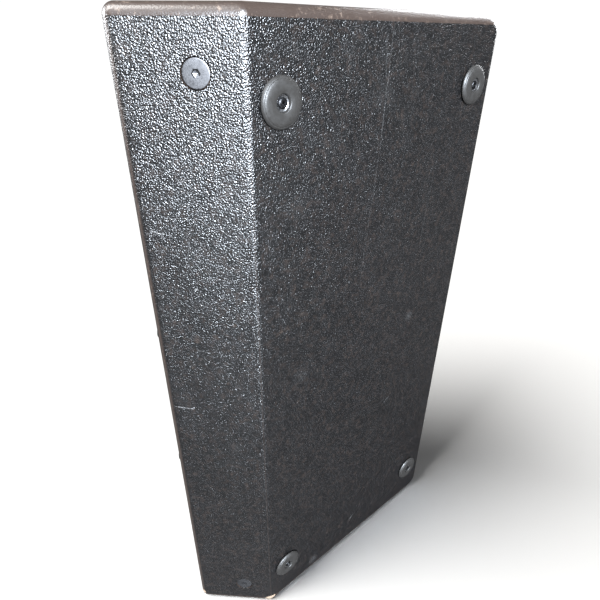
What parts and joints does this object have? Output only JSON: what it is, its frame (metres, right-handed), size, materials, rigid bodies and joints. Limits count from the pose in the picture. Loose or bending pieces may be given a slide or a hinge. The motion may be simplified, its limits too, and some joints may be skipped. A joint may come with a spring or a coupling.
{
  "type": "stage monitor wedge",
  "caption": "Passive two-way wedge loudspeaker in a grainy black plywood cabinet with rubber feet, plugged rigging points, steel grille, handle and pole socket.",
  "frame": {"origin": "middle of the footprint of the cabinet as it stands on its bottom end panel", "axes": "+Z along the cabinet's length towards its top end panel, -Y out through the grille, the floor face with the rubber feet towards -X and +Y"},
  "size_m": [0.4402, 0.2847, 0.706],
  "materials": {
    "textured_black_coat": "plywood under a grainy black spray coat, semi-matt",
    "bare_plywood": "uncoated birch plywood",
    "felt": "grey damping felt",
    "foot_rubber": "worn dark grey rubber",
    "zinc_steel": "zinc-plated steel",
    "plug_steel": "dark plated steel, worn",
    "grille_steel": "black powder-coated perforated steel",
    "open_foam": "thin black open-cell foam",
    "black_plastic": "moulded black plastic",
    "black_screws": "blackened steel",
    "basket_casting": "cast aluminium, black painted",
    "gasket_rubber": "dense rubber gasket",
    "ferrite": "dark magnet block, sealed",
    "soft_steel": "machined soft steel, passivated",
    "cone_paper": "pressed fibre cone, doped black",
    "surround_cloth": "doped pleated cloth",
    "spider_cloth": "phenolic-treated corrugated cloth",
    "coil_copper": "enamelled copper winding on a former",
    "dome_metal": "thin metal dome",
    "board_laminate": "green circuit laminate",
    "film_capacitor": "red wrapped film capacitor",
    "ceramic_resistor": "white cement resistor body",
    "cable_jacket": "red soft cable jacket"
  },
  "bodies": {
    "cabinet": {"floor_panel": "textured_black_coat", "rear_panel": "textured_black_coat", "upper_panel": "textured_black_coat", "top_end_panel": "textured_black_coat", "bottom_end_panel": "textured_black_coat", "baffle_panel": "bare_plywood", "window_brace": "bare_plywood", "felt_rear": "felt", "felt_ends": "felt", "foot_rear_top": "foot_rubber", "foot_rear_bottom": "foot_rubber", "foot_front_top": "foot_rubber", "foot_front_bottom": "foot_rubber", "foot_washers": "zinc_steel", "foot_screws": "black_screws", "fly_plug_top": "plug_steel", "fly_plug_bottom": "plug_steel", "fly_inserts": "zinc_steel", "grille_sheet": "grille_steel", "grille_foam": "open_foam", "grille_spacers": "black_plastic", "grille_screws": "black_screws", "port_ducts": "black_plastic", "woofer_basket": "basket_casting", "woofer_gasket": "gasket_rubber", "woofer_top_plate": "soft_steel", "woofer_magnet": "ferrite", "woofer_pole_piece": "soft_steel", "woofer_surround": "surround_cloth", "woofer_spider": "spider_cloth", "woofer_screws": "black_screws", "woofer_tee_nuts": "zinc_steel", "horn": "black_plastic", "horn_screws": "black_screws", "hf_front_plate": "soft_steel", "hf_magnet": "ferrite", "hf_rear_cover": "black_plastic", "hf_suspension": "spider_cloth", "crossover_board": "board_laminate", "crossover_inductors": "coil_copper", "crossover_capacitors": "film_capacitor", "crossover_resistors": "ceramic_resistor", "crossover_standoffs": "zinc_steel", "input_dish": "black_plastic", "socket_in": "black_plastic", "socket_link": "black_plastic", "input_screws": "black_screws", "handle_cup": "black_plastic", "handle_bar": "black_plastic", "handle_screws": "black_screws", "pole_socket": "plug_steel", "pole_screws": "zinc_steel", "inside_wires": "cable_jacket"},
    "cone_assembly": {"woofer_cone": "cone_paper", "woofer_dust_cap": "cone_paper", "woofer_voice_coil": "coil_copper"},
    "hf_diaphragm": {"hf_dome": "dome_metal"}
  },
  "joints": [
    {"name": "cone_travel", "type": "slide", "parent": "cabinet", "child": "cone_assembly", "axis": [0, -1, 0], "range_m": [-0.005, 0.005], "stiffness_N_per_m": 5000, "deforming": ["woofer_surround", "woofer_spider"]},
    {"name": "dome_travel", "type": "slide", "parent": "cabinet", "child": "hf_diaphragm", "axis": [0, -1, 0], "range_m": [-0.0004, 0.0004], "stiffness_N_per_m": 3000, "deforming": ["hf_suspension"]}
  ]
}
